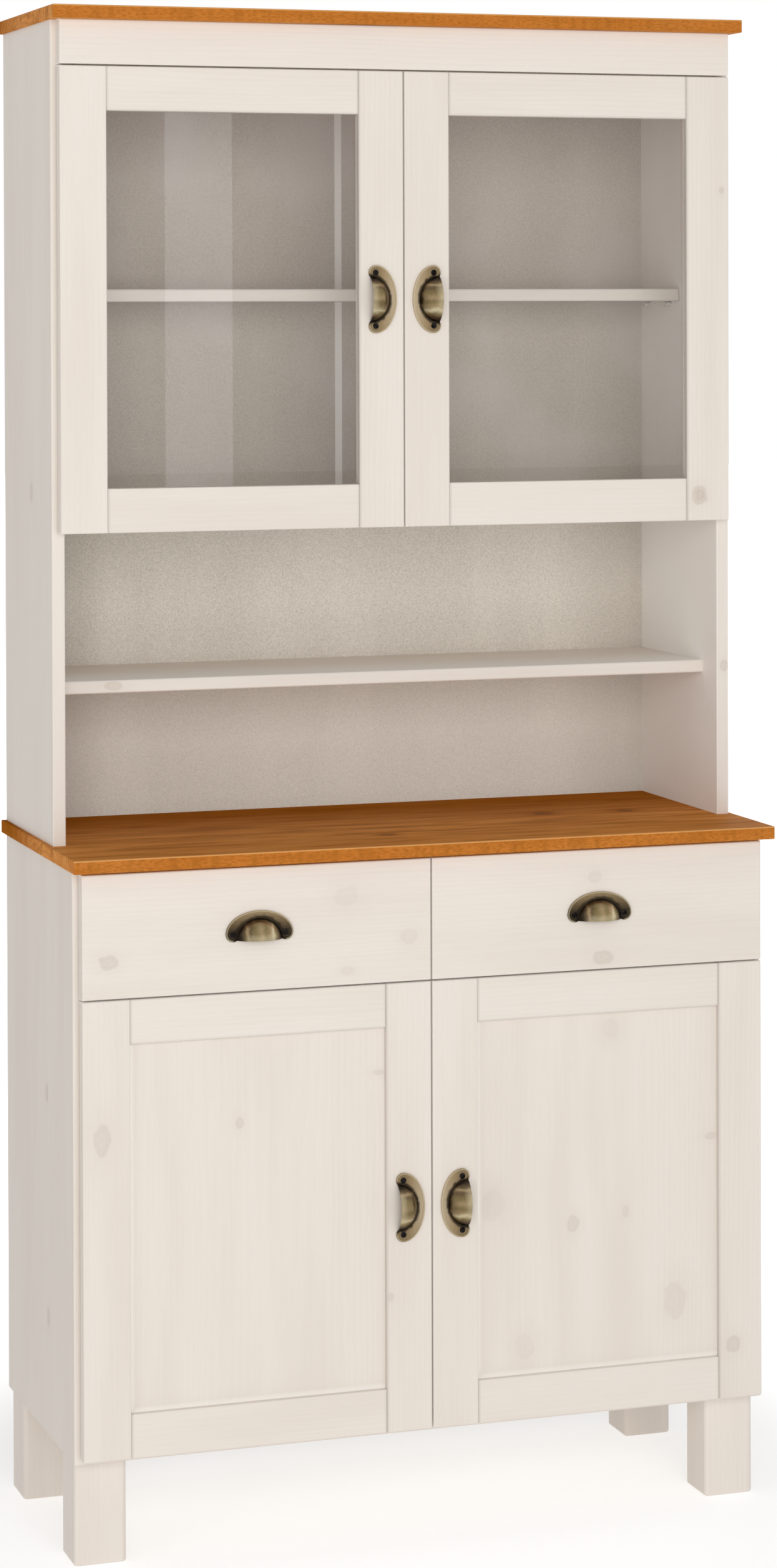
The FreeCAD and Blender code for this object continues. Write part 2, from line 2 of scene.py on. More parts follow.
# A step back cupboard, dressed for its picture
#
# The cupboard is a pine dresser in two stages: a base with two drawers and two panelled doors, and a
# shallower hutch with glazed doors that stands back on the worktop. Its boards come ready made from
# the exact solids, so this lesson gives them their finishes, adds the small fixings, and sets up the
# light and the camera.

# %% The frame of exact solids
import math
import random

import bmesh
import bpy
from mathutils import Euler, Matrix, Vector


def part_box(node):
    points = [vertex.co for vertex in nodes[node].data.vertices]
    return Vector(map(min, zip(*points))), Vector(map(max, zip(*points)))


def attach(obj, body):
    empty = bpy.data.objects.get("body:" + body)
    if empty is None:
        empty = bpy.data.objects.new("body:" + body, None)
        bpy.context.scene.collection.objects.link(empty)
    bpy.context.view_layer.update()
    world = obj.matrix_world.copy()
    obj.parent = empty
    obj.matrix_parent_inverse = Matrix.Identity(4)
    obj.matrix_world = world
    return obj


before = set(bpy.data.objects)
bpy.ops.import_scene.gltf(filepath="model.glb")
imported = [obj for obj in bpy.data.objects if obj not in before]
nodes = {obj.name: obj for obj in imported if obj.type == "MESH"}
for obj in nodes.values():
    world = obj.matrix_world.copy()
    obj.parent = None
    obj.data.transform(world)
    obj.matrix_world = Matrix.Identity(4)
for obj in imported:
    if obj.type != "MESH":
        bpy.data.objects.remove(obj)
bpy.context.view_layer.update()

scene = bpy.context.scene

# %% [markdown]
# Helpers for shader trees
#
# Every finish on this cupboard is a small tree of shader nodes. These helpers add a node, feed a socket
# with a link or a plain value, and wrap the nodes that come up all the time: sums, noise, ranges, colour
# mixes and the place of a point on its object. A socket knows its tree by id_data, so only the first
# node has to be told which tree it is in.

# %% Shader helpers
def add_node(tree, kind, **settings):
    node = tree.nodes.new("ShaderNode" + kind)
    for name, value in settings.items():
        setattr(node, name, value)
    return node


def feed(socket, value):
    """Link another socket to this one, or set a plain value on it."""
    if isinstance(value, bpy.types.NodeSocket):
        socket.id_data.links.new(value, socket)
    else:
        socket.default_value = value


def maths(operation, first, second=0.0, third=0.0):
    node = add_node(first.id_data, "Math", operation=operation)
    for socket, value in zip(node.inputs, (first, second, third)):
        feed(socket, value)
    return node.outputs["Value"]


def vector_maths(operation, first, second=(0, 0, 0), output="Vector"):
    node = add_node(first.id_data, "VectorMath", operation=operation)
    feed(node.inputs[0], first)
    feed(node.inputs[1], second)
    return node.outputs[output]


def noise(vector, scale, detail=2.0, output="Fac"):
    node = add_node(vector.id_data, "TexNoise")
    feed(node.inputs["Vector"], vector)
    feed(node.inputs["Scale"], scale)
    feed(node.inputs["Detail"], detail)
    return node.outputs[output]


def spread(value, low, high, to_low=0.0, to_high=1.0):
    """Carry a range of values smoothly onto another range."""
    node = add_node(value.id_data, "MapRange", interpolation_type="SMOOTHSTEP")
    feed(node.inputs["Value"], value)
    feed(node.inputs["From Min"], low)
    feed(node.inputs["From Max"], high)
    feed(node.inputs["To Min"], to_low)
    feed(node.inputs["To Max"], to_high)
    return node.outputs["Result"]


def mix(share, first, second):
    """Mix two colours; a Mix node has its colour sockets after those for numbers and vectors."""
    node = add_node(share.id_data, "Mix", data_type="RGBA")
    feed(node.inputs[0], share)
    feed(node.inputs[6], first)
    feed(node.inputs[7], second)
    return node.outputs[2]


def tint(colour, mask, share, other):
    """Mix a share of another colour in where the mask is high."""
    return mix(maths("MULTIPLY", mask, share), colour, other)


def drawn_noise(vector, stretch, detail):
    """Noise that is drawn out along the axes with the smaller numbers."""
    return noise(vector_maths("MULTIPLY", vector, stretch), 1.0, detail)


def object_place(tree):
    return add_node(tree, "TexCoord").outputs["Object"]


def axes(vector):
    """The X, Y and Z parts of a vector."""
    node = add_node(vector.id_data, "SeparateXYZ")
    feed(node.inputs["Vector"], vector)
    return node.outputs


print("shader helpers ready")

# %% [markdown]
# A node group with named sockets
#
# Grain shows on every board, painted or oiled, so it belongs in a node group that is built once. A
# group gets its sockets from its interface, and a material then feeds them with values of its own.

# %% Group helpers
def new_group(name, inputs, outputs):
    """A group tree with the named sockets; each entry is a name and a socket type."""
    tree = bpy.data.node_groups.new(name, "ShaderNodeTree")
    for socket_name, kind in inputs:
        tree.interface.new_socket(socket_name, in_out="INPUT", socket_type="NodeSocket" + kind)
    for socket_name, kind in outputs:
        tree.interface.new_socket(socket_name, in_out="OUTPUT", socket_type="NodeSocket" + kind)
    entry = tree.nodes.new("NodeGroupInput")
    leave = tree.nodes.new("NodeGroupOutput")
    return tree, entry.outputs, leave.inputs


def place_group(group, **values):
    """Use a group in the tree that its position comes from."""
    node = values["Position"].id_data.nodes.new("ShaderNodeGroup")
    node.node_tree = group
    for name, value in values.items():
        feed(node.inputs[name], value)
    return node.outputs


print("group helpers ready")

# %% [markdown]
# Pine figure
#
# A pine board shows three things at once: the growth rings of the trunk, fine fibres along the grain,
# and a slow drift of tone. The rings are shells around the trunk's middle, so a face shows streaks and
# an end shows arcs, as in sawn wood. The grain runs along X of the position that a material feeds in.

# %% The pine figure group
half_grey = (0.5, 0.5, 0.5)
cross_grain = (0.0, 1.0, 1.0)


def build_pine_figure():
    inputs = [("Position", "Vector"), ("Spacing", "Float"), ("Waviness", "Float")]
    outputs = [("Rings", "Float"), ("Fibre", "Float"), ("Drift", "Float")]
    tree, given, result = new_group("pine_figure", inputs, outputs)
    position = given["Position"]
    slow = vector_maths("MULTIPLY", position, (0.9, 6.0, 6.0))
    sway = vector_maths("SUBTRACT", noise(slow, 1.0, 3.0, "Color"), half_grey)
    sway = vector_maths("MULTIPLY", sway, cross_grain)
    scaled = add_node(tree, "VectorMath", operation="SCALE")
    feed(scaled.inputs[0], sway)
    feed(scaled.inputs["Scale"], given["Waviness"])
    bent = vector_maths("ADD", position, scaled.outputs["Vector"])
    across = vector_maths("MULTIPLY", bent, cross_grain)
    radius = vector_maths("LENGTH", across, output="Value")
    year = maths("FRACT", maths("DIVIDE", radius, given["Spacing"]))
    late = maths("MULTIPLY", spread(year, 0.25, 0.85), spread(year, 1.0, 0.88))
    feed(result["Rings"], late)
    feed(result["Fibre"], drawn_noise(position, (9.0, 620.0, 620.0), 2.0))
    feed(result["Drift"], drawn_noise(position, (2.2, 16.0, 16.0), 3.0))
    return tree


pine_figure = build_pine_figure()
print("group:", pine_figure.name)

# %% [markdown]
# Knots
#
# Where a branch grew, the board has a knot: a dark eye with rings of its own. The group measures how
# far a point is from the knot's centre, in knot sizes, so one group makes round and oval knots. It
# puts out the eye with its fine rings, and the soft halo around it.

# %% The knot group
wobble_reach = (0.7, 0.7, 0.7)
ring_waves = 15.0
bark_distance = 0.78


def build_knot():
    inputs = [("Position", "Vector"), ("Centre", "Vector"), ("Size", "Vector")]
    outputs = [("Eye", "Float"), ("Halo", "Float")]
    tree, given, result = new_group("knot", inputs, outputs)
    offset = vector_maths("SUBTRACT", given["Position"], given["Centre"])
    wobble = noise(given["Position"], 60.0, 2.0, "Color")
    wobble = vector_maths("SUBTRACT", wobble, half_grey)
    wobble = vector_maths("MULTIPLY", wobble, wobble_reach)
    away = vector_maths("DIVIDE", offset, given["Size"])
    away = vector_maths("ADD", away, wobble)
    distance = vector_maths("LENGTH", away, output="Value")
    inside = spread(distance, 1.05, 0.7)
    waves = maths("SINE", maths("MULTIPLY", distance, ring_waves))
    rings = maths("MULTIPLY_ADD", waves, 0.10, 0.62)
    from_bark = maths("ABSOLUTE", maths("SUBTRACT", distance, bark_distance))
    rings = maths("ADD", rings, spread(from_bark, 0.20, 0.0, 0.0, 0.28))
    feed(result["Eye"], maths("MULTIPLY", inside, rings))
    feed(result["Halo"], spread(distance, 2.6, 0.9))
    return tree


knot = build_knot()
print("group:", knot.name)

# %% [markdown]
# Edges and joints
#
# Two things draw the fronts. Whiter paint on the edges of a board is painted light that lightens the
# shaded gaps between fronts, and a soft grey line where a rail meets a stile or a panel is partly a
# dark joint and partly painted shade. Both follow the outline of a rectangle, so one group tells how
# near a point is to its upright and its level sides.

# %% The outline group
def build_outline():
    inputs = [("Position", "Vector"), ("Low", "Vector"), ("High", "Vector"), ("Width", "Float")]
    outputs = [("Upright", "Float"), ("Level", "Float")]
    tree, given, result = new_group("outline", inputs, outputs)
    distances = []
    for corner in ("Low", "High"):
        offset = vector_maths("SUBTRACT", given["Position"], given[corner])
        distances.append(vector_maths("ABSOLUTE", offset))
    nearest = axes(vector_maths("MINIMUM", *distances))
    for line, axis in (("Upright", "X"), ("Level", "Z")):
        feed(result[line], spread(nearest[axis], given["Width"], 0.0))
    return tree


outline = build_outline()
print("group:", outline.name)

# %% [markdown]
# Boards and their grain
#
# Each board comes from another place in the trunk. The position that feeds the pine figure is turned
# so that the grain runs along the board, and shifted so that the trunk's middle lies some way behind
# its face. The shift is drawn from a seeded dice, so every run gives the same boards.

# %% Board positions
dice = random.Random(20)
grain_turns = {"x": (0, 0, 0), "y": (0, 0, -math.pi / 2), "z": (0, math.pi / 2, 0)}


def board_position(tree, node_name, grain):
    """Object coordinates turned along the grain, with the trunk's middle behind the board."""
    low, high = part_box(node_name)
    turn = Euler(grain_turns[grain]).to_matrix()
    middle = turn @ ((low + high) / 2)
    trunk = Vector((dice.uniform(0, 3), dice.uniform(-0.03, 0.03), dice.uniform(0.05, 0.08)))
    if grain == "z":
        trunk = Vector((trunk.x, trunk.z, trunk.y))
    place = add_node(tree, "Mapping")
    feed(place.inputs["Rotation"], grain_turns[grain])
    feed(place.inputs["Location"], trunk - middle)
    feed(place.inputs["Vector"], object_place(tree))
    return place.outputs["Vector"]


def new_material(name):
    material = bpy.data.materials.new(name)
    material.use_nodes = True
    tree = material.node_tree
    return material, tree, tree.nodes["Principled BSDF"]


def colour_and_gloss(shader, colour, uneven, rough_low, rough_high):
    """Feed the colour, and a roughness that follows the middle range of a noise."""
    feed(shader.inputs["Base Color"], colour)
    feed(shader.inputs["Roughness"], spread(uneven, 0.3, 0.7, rough_low, rough_high))


def bump(shader, height, distance, strength):
    node = add_node(shader.id_data, "Bump")
    feed(node.inputs["Height"], height)
    feed(node.inputs["Distance"], distance)
    feed(node.inputs["Strength"], strength)
    feed(shader.inputs["Normal"], node.outputs["Normal"])


def dress(node_name, material):
    """Give a solid its finish."""
    for slot in nodes[node_name].material_slots:
        slot.material = material


print("board helpers ready")

# %% [markdown]
# Painted pine
#
# The white boards are pine under a thin off-white paint. The paint hides the colour of the wood but
# not its relief, so the grain shows as a faint change of tone, a change of gloss and a very low bump.
# Knots still show through as greyish eyes, and a few of them are set where the real boards have them.

# %% Paint over grain and knots
paint_white = (0.79, 0.724, 0.66, 1)
paint_cream = (0.70, 0.622, 0.542, 1)
knot_grey = (0.50, 0.42, 0.34, 1)
knot_halo = 0.22


def painted_grain(figure):
    """Paint that is creamier over rings, fibres and slow drifts of tone."""
    tone = spread(figure["Drift"], 0.3, 0.75, 0.0, 0.42)
    tone = maths("MULTIPLY_ADD", figure["Rings"], 0.07, tone)
    tone = maths("ADD", tone, spread(figure["Fibre"], 0.35, 0.7, 0.0, 0.10))
    return mix(tone, paint_white, paint_cream)


def with_knots(place, colour, knots):
    """Let knots show through; each is a centre, a size and how strongly it shows."""
    for centre, size, strength in knots:
        spot = place_group(knot, Position=place, Centre=centre, Size=size)
        colour = tint(colour, spot["Halo"], knot_halo, paint_cream)
        colour = tint(colour, spot["Eye"], strength, knot_grey)
    return colour


print("paint over grain and knots ready")

# %% [markdown]
# Lines and painted light
#
# Four functions change the paint at set places, mostly as painted light: whiter paint on a face that
# the lamps reach little, and on the edges where a front's face turns in, lightens the shade there.
# Along the opening of a door frame a grey line marks the joints and, as painted shade, the recessed
# edges, and the opposite sides get painted light. Lengths are in metres, depths count from the face.

# %% Paint at faces, edges and joints
# painted light: whiter paint in the gaps of the fronts and on the lit sides of an opening
painted_light_edge = (0.95, 0.91, 0.86, 1)
# painted light: whiter paint on faces the lamps reach little and along shelf fronts
painted_light_white = (0.93, 0.905, 0.87, 1)
# grey for dark joints, and for painted shade along recessed edges of a door's opening
joint_and_shade_grey = (0.44, 0.405, 0.365, 1)
painted_light_open = 0.8
painted_light_glazed = 0.35
board_thickness = 0.016
skin_full = 0.0004
skin_end = 0.0012
turn_start = 0.0003
turn_full = 0.0012
edge_width = 0.0018
joint_and_shade_width = 0.0038
upright_joint_and_shade = 0.45
level_painted_shade = 0.3


def sides_near(place, low, high, width):
    """How near a point is to the upright and to the level sides of a rectangle."""
    return place_group(outline, Position=place, Low=low, High=high, Width=width)


def with_painted_light_face(place, colour, face):
    """Painted light: whiten the inner face of a hutch side, less above the floor of the glazed part."""
    part = axes(place)
    off_face = maths("ABSOLUTE", maths("SUBTRACT", part["X"], face))
    skin = spread(off_face, skin_end, skin_full)
    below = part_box("hutch_floor")[0].z
    share = spread(part["Z"], below, below + board_thickness, painted_light_open, painted_light_glazed)
    return tint(colour, skin, share, painted_light_white)


# Painted light: whiten the faces where a front's face turns in, lightening the shaded gaps.
def with_painted_light_edges(place, colour, low, high):
    near = sides_near(place, low, high, edge_width)
    edge = maths("MAXIMUM", near["Upright"], near["Level"])
    turned_in = spread(axes(place)["Y"], low.y + turn_start, low.y + turn_full)
    return tint(colour, edge, turned_in, painted_light_edge)


def with_joints_and_shade(place, colour, low, high, is_rail):
    """Grey lines: rail joints, and painted shade along a stile's and a rail's recessed edge."""
    near = sides_near(place, low, high, joint_and_shade_width)
    colour = tint(colour, near["Upright"], upright_joint_and_shade, joint_and_shade_grey)
    if is_rail:
        colour = tint(colour, near["Level"], level_painted_shade, joint_and_shade_grey)
    return colour


def with_painted_light_sides(place, colour, corner, width, share):
    """Painted light: whiten the two sides of an opening that meet at a corner."""
    near = sides_near(place, corner, corner, width)
    side = maths("MAXIMUM", near["Upright"], near["Level"])
    return tint(colour, side, share, painted_light_edge)


print("paint at faces, edges and joints ready")

# %% [markdown]
# The whole painted finish
#
# One function puts the layers together. The fibres also change the gloss, and with the rings the bump.

# %% The painted pine finish
def painted_pine(node_name, grain, knots=(), edges=None, opening=None, shaded=None, lit=None):
    """Paint a board. Edges and opening are the corners of its outline and of the frame's opening,
    shaded is the X of a face with painted light, and lit a corner, width and share of painted light."""
    material, tree, shader = new_material("painted_pine_" + node_name)
    position = board_position(tree, node_name, grain)
    figure = place_group(pine_figure, Position=position, Spacing=0.0065, Waviness=0.05)
    place = object_place(tree)
    colour = with_knots(place, painted_grain(figure), knots)
    if shaded:
        colour = with_painted_light_face(place, colour, shaded)
    if edges:
        colour = with_painted_light_edges(place, colour, *edges)
    if opening:
        colour = with_joints_and_shade(place, colour, *opening, is_rail=(grain == "x"))
    if lit:
        colour = with_painted_light_sides(place, colour, *lit)
    colour_and_gloss(shader, colour, figure["Fibre"], 0.46, 0.58)
    relief = maths("MULTIPLY_ADD", figure["Rings"], 0.5, figure["Fibre"])
    bump(shader, relief, 0.0004, 0.25)
    dress(node_name, material)
    return material


print("painted pine ready")

# %% [markdown]
# Which boards are painted, and which way their grain runs
#
# Upright boards have upright grain, rails and shelves have level grain. The inner faces of the hutch
# are painted whiter, as painted light on faces that the lamps reach little. So is the front of each
# shelf's upper face, as painted light falling from the front.

# %% Painted boards
side_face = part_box("hutch_side_left")[0].x
knot_depth = 0.02
# painted light along the front of a shelf's upper face: how deep it reaches, how strong it is
shelf_light_depth = 0.17
shelf_light_share = 0.95


def front_knot(x, face, z, width, height, strength=0.5):
    return (x, face, z), (width, knot_depth, height), strength


def side_knot(y, z, width, height, strength=0.5):
    return (side_face, y, z), (knot_depth, width, height), strength


def paint_light_on_shelf_front(node_name, material):
    """Painted light: lighten the paint towards the front of a shelf's upper face."""
    low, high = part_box(node_name)
    tree = material.node_tree
    base_colour = tree.nodes["Principled BSDF"].inputs["Base Color"]
    painted = base_colour.links[0].from_socket
    part = axes(object_place(tree))
    upper = spread(part["Z"], high.z - skin_end, high.z - skin_full)
    # Painted light, strongest at the front edge and gone at the set depth.
    shelf_front_light = spread(part["Y"], low.y + shelf_light_depth, low.y, 0.0, shelf_light_share)
    feed(base_colour, tint(painted, upper, shelf_front_light, painted_light_white))


upright_boards = {
    "base_side_left": [side_knot(-0.0245, 0.544, 0.008, 0.013), side_knot(-0.028, 0.271, 0.007, 0.012)],
    "base_side_right": [],
    "hutch_side_left": [side_knot(0.046, 1.274, 0.008, 0.013)],
    "hutch_side_right": [front_knot(0.4376, -0.0625, 1.04, 0.007, 0.009)],
    "feet": [],
    "hutch_door_left_beads": [],
    "hutch_door_right_beads": [],
    "drawer_divider": [],
}
level_boards = {
    "open_shelf": [front_knot(-0.356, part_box("open_shelf")[0].y, 1.037, 0.013, 0.006)],
    "glazed_shelf": [],
    "base_shelf": [],
    "base_bottom": [],
    "drawer_board": [],
    "hutch_floor": [],
}
inner_faces = {
    "hutch_side_left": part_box("hutch_side_left")[1].x,
    "hutch_side_right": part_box("hutch_side_right")[0].x,
}
# The inner faces of the hutch sides get painted light, as whiter paint.
for board_name, knots in upright_boards.items():
    painted_pine(board_name, "z", knots, shaded=inner_faces.get(board_name))
for board_name, knots in level_boards.items():
    material = painted_pine(board_name, "x", knots)
    if board_name.endswith("_shelf"):
        paint_light_on_shelf_front(board_name, material)
print("painted boards:", len(upright_boards) + len(level_boards))

# %% [markdown]
# Knots of the doors
#
# The real doors have their own pattern of knots: on the frames all of them lie on the stiles, and the
# panels of the base have some too.

# %% Knots of the doors
hutch_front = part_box("hutch_door_left_stiles")[0].y
base_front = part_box("base_door_left_stiles")[0].y
panel_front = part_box("base_door_left_panel")[0].y
stile_knots = {
    "hutch_door_left": [],
    "hutch_door_right": [
        front_knot(0.3955, hutch_front, 1.2605, 0.0115, 0.013, 0.65),
        front_knot(0.3965, hutch_front, 1.261, 0.007, 0.008),
        front_knot(0.4272, hutch_front, 1.6487, 0.004, 0.005),
    ],
    "base_door_left": [
        front_knot(-0.413, base_front, 0.5155, 0.0125, 0.021, 0.4),
        front_knot(-0.054, base_front, 0.2985, 0.004, 0.006, 0.4),
    ],
    "base_door_right": [front_knot(0.398, base_front, 0.2014, 0.011, 0.012, 0.45)],
}
panel_knots = {
    "base_door_left": [
        front_knot(-0.242, panel_front, 0.523, 0.006, 0.008, 0.4),
        front_knot(-0.067, panel_front, 0.572, 0.008, 0.004, 0.35),
    ],
    "base_door_right": [
        front_knot(0.080, panel_front, 0.398, 0.017, 0.022, 0.14),
        front_knot(0.1865, panel_front, 0.368, 0.009, 0.011, 0.4),
        front_knot(0.256, panel_front, 0.3776, 0.005, 0.008, 0.3),
        front_knot(0.370, panel_front, 0.463, 0.008, 0.005, 0.4),
        front_knot(0.3216, panel_front, 0.261, 0.016, 0.025, 0.25),
        front_knot(0.1225, panel_front, 0.2206, 0.014, 0.018, 0.15),
        front_knot(0.236, panel_front, 0.606, 0.014, 0.014, 0.15),
    ],
}
print("knots for", len(stile_knots), "frames and", len(panel_knots), "panels")

# %% [markdown]
# Door frames
#
# The stiles and rails of a door share the outline of the door and the rectangle of its opening. A
# front's outer edge gets no painted light, so it is left out by moving it a metre away. The rail joints
# get the grey line, and of the opening only the right and upper sides, as painted shade, since the light
# comes from the left and front. Along its left and lower sides light is painted in as whiter paint, so
# that frame and panel run together.

# %% Painted doors
stile_width = 0.058
rail_heights = {"hutch": 0.054, "base": 0.053}
far_off = Vector((1, 0, 0))
far_down = Vector((0, 0, 1))
# painted light: whiter paint along the left and lower sides of a door's opening
frame_lit_width = 0.0016
frame_lit_share = 0.4
panel_lit_width = 0.008
panel_lit_share = 0.75


def inner_outline(board_name):
    """The corners of a front's outline, with its outer side moved away."""
    low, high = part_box(board_name)
    if low.x + high.x < 0:
        return low - far_off, high
    return low, high + far_off


for door, knots in stile_knots.items():
    low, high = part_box(door + "_stiles")
    inset = Vector((stile_width, 0, rail_heights[door.split("_")[0]]))
    edges = inner_outline(door + "_stiles")
    corner = low + inset
    # painted shade along the stile's recessed inner edge on the right of the opening
    stile_painted_shade = (low - far_off, high - inset)
    frame_lit = (corner - far_down, frame_lit_width, frame_lit_share)
    painted_pine(door + "_stiles", "z", knots, edges, stile_painted_shade, lit=frame_lit)
    painted_pine(door + "_rails", "x", (), edges, (corner - far_down, high - inset))
    if door in panel_knots:
        panel_lit = (corner, panel_lit_width, panel_lit_share)
        painted_pine(door + "_panel", "z", panel_knots[door], lit=panel_lit)
print("painted doors:", len(stile_knots), "with", len(panel_knots), "panels")

# %% [markdown]
# Drawer fronts and the frieze
#
# A drawer front is a single board with an outline only, again without its outer edge. The frieze over
# the doors has two outer edges, and both are left out.

# %% Painted drawer fronts and frieze
drawer_knots = {
    "drawer_left_front": [
        front_knot(-0.405, base_front, 0.7264, 0.013, 0.010),
        front_knot(-0.108, base_front, 0.789, 0.016, 0.014, 0.16),
        front_knot(-0.029, base_front, 0.737, 0.012, 0.010, 0.22),
        front_knot(-0.108, base_front, 0.700, 0.010, 0.006, 0.2),
    ],
    "drawer_right_front": [
        front_knot(0.224, base_front, 0.696, 0.016, 0.010),
        front_knot(0.214, base_front, 0.797, 0.010, 0.008, 0.25),
    ],
}
for board_name, knots in drawer_knots.items():
    painted_pine(board_name, "x", knots, inner_outline(board_name))
low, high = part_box("frieze")
painted_pine("frieze", "x", (), (low - far_off, high + far_off))
print("painted fronts:", len(drawer_knots), "drawers and the frieze")

# %% [markdown]
# Oiled pine
#
# The worktop and the top board are glued up from long staves and finished with honey-coloured oil.
# Late wood takes the oil darker than early wood, so the rings carry the contrast here. Each stave has
# its own tone: the position across the board is cut into steps, and a white noise gives each step a
# number of its own.

# %% The staves of the oiled boards
honey_light = (0.79, 0.318, 0.062, 1)
honey_dark = (0.33, 0.105, 0.010, 1)
honey_red = (0.50, 0.158, 0.020, 1)
# pale tone for lighter streaks in the grain, and for a painted highlight on the front's top edge
honey_pale_and_highlight = (0.80, 0.42, 0.15, 1)
stave_width = 0.098
stave_shift = (2.0, 0.12, 0.05)


def stave_colour(position):
    """The colour of the oiled staves, and the pine figure that it comes from."""
    stave = maths("FLOOR", maths("DIVIDE", axes(position)["Y"], stave_width))
    chance = add_node(position.id_data, "TexWhiteNoise", noise_dimensions="1D")
    feed(chance.inputs["W"], stave)
    shift = vector_maths("MULTIPLY", chance.outputs["Color"], stave_shift)
    shifted = vector_maths("ADD", position, shift)
    figure = place_group(pine_figure, Position=shifted, Spacing=0.0085, Waviness=0.09)
    fibre = spread(figure["Fibre"], 0.34, 0.7, 0.0, 0.42)
    grain = maths("MULTIPLY_ADD", figure["Rings"], 0.32, fibre)
    colour = mix(grain, honey_light, honey_dark)
    colour = tint(colour, chance.outputs["Value"], 0.35, honey_red)
    drift = spread(figure["Drift"], 0.35, 0.8, 0.0, 0.65)
    colour = mix(drift, colour, honey_red)
    flame = drawn_noise(shifted, (7.0, 45.0, 45.0), 2.0)
    colour = mix(spread(flame, 0.5, 0.68, 0.0, 0.55), colour, honey_dark)
    colour = mix(spread(flame, 0.46, 0.30, 0.0, 0.25), colour, honey_pale_and_highlight)
    return colour, figure


print("staves ready")

# %% [markdown]
# Wax, painted light and painted shade on the oiled boards
#
# They follow the distance from the front edge. The sawn edge is flecked, with a painted highlight along
# its top, the part behind it is waxed by hands and cloths, and towards the back, which on the worktop
# lies under the hutch, shade is painted in as a deeper colour.

# %% The oiled pine finish
# painted shade: the deeper colour towards the back of an oiled board
honey_painted_shade = (0.27, 0.075, 0.004, 1)
knot_brown = (0.12, 0.035, 0.010, 1)
shade_and_wax_start = 0.17
shade_and_wax_end = 0.36


def with_sawn_edge(place, colour, behind):
    """Redden the sawn front edge, and give it dark flecks and bars."""
    sawn = spread(behind, 0.0016, 0.0006)
    colour = tint(colour, sawn, 0.75, honey_red)
    flecks = drawn_noise(place, (170.0, 1.0, 520.0), 2.0)
    colour = tint(colour, sawn, spread(flecks, 0.42, 0.70, 0.05, 0.7), honey_dark)
    bars = drawn_noise(place, (85.0, 1.0, 6.0), 1.0)
    return tint(colour, sawn, spread(bars, 0.5, 0.64, 0.0, 0.32), honey_dark)


def oiled_pine(node_name, knots=()):
    material, tree, shader = new_material("oiled_pine_" + node_name)
    colour, figure = stave_colour(board_position(tree, node_name, "x"))
    place = object_place(tree)
    for centre, size in knots:
        spot = place_group(knot, Position=place, Centre=centre, Size=size)
        colour = tint(colour, spot["Halo"], 0.5, honey_dark)
        colour = tint(colour, spot["Eye"], 0.7, knot_brown)

    low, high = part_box(node_name)
    from_edge = axes(vector_maths("SUBTRACT", place, (low.x, low.y, high.z)))
    behind = from_edge["Y"]
    # Painted shade, deepening towards the back.
    painted_shade = spread(behind, shade_and_wax_start, shade_and_wax_end, 0.0, 0.7)
    colour = mix(painted_shade, colour, honey_painted_shade)
    colour = with_sawn_edge(place, colour, behind)
    # Painted highlight along the top of the sawn front edge.
    near_top = spread(from_edge["Z"], -0.0022, -0.0010)
    top_edge_highlight = maths("MULTIPLY", spread(behind, 0.0038, 0.0016), near_top)
    colour = tint(colour, top_edge_highlight, 0.65, honey_pale_and_highlight)

    colour_and_gloss(shader, colour, figure["Fibre"], 0.45, 0.6)
    feed(shader.inputs["Coat Weight"], spread(behind, shade_and_wax_start, shade_and_wax_end, 0.19, 0.0))
    shader.inputs["Coat Roughness"].default_value = 0.4
    shader.inputs["Specular IOR Level"].default_value = 0.0
    relief = maths("MULTIPLY_ADD", figure["Rings"], 0.6, figure["Fibre"])
    bump(shader, relief, 0.0003, 0.3)
    dress(node_name, material)


worktop_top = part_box("worktop")[1].z
worktop_knots = [
    ((-0.03, -0.10, worktop_top), (0.012, 0.008, knot_depth)),
    ((0.22, 0.02, worktop_top), (0.016, 0.012, knot_depth)),
    ((0.33, 0.01, worktop_top), (0.012, 0.010, knot_depth)),
]
oiled_pine("worktop", worktop_knots)
oiled_pine("hutch_top")
print("oiled boards: worktop, hutch_top")

# %% [markdown]
# Back panels
#
# Backs and drawer bottoms are thin fibre board with a rolled cream coat on one face. Two noises of
# different grain size speckle it with small dots, and a third one, drawn out upwards, gives it soft
# clouds. In the open part shade is painted in towards the left and right ends, and under the shelf the
# coat is painted lighter and cooler, as painted light. The other panels get a painted reflection: a
# violet haze in wide clouds. Behind the glass the coat is darker throughout, as painted shade. The rear
# face of a back and the underside of a bottom are plain brown board.

# %% The back panel finish
coat_light = (0.82, 0.77, 0.69, 1)
coat_dark = (0.535, 0.492, 0.43, 1)
# painted reflection: the violet haze seen on the panes, in wide clouds
painted_reflection_violet = (0.61, 0.55, 0.515, 1)
# painted light: a lighter, cooler coat below the open shelf
coat_painted_light = (0.92, 0.93, 0.87, 1)
# painted shade: a darker copy of the coat for the backs behind the glass
painted_shade_light = (0.58, 0.512, 0.442, 1)
painted_shade_dark = (0.41, 0.356, 0.30, 1)
fibre_light = (0.34, 0.215, 0.12, 1)
fibre_dark = (0.23, 0.135, 0.07, 1)
# painted shade: a darker coat towards the left and right ends of the open back
painted_shade_brown = (0.38, 0.335, 0.28, 1)
painted_shade_reach = 0.16
painted_shade_share = 0.4
painted_light_share = 0.31
bare_start = 0.0008
bare_full = 0.0003


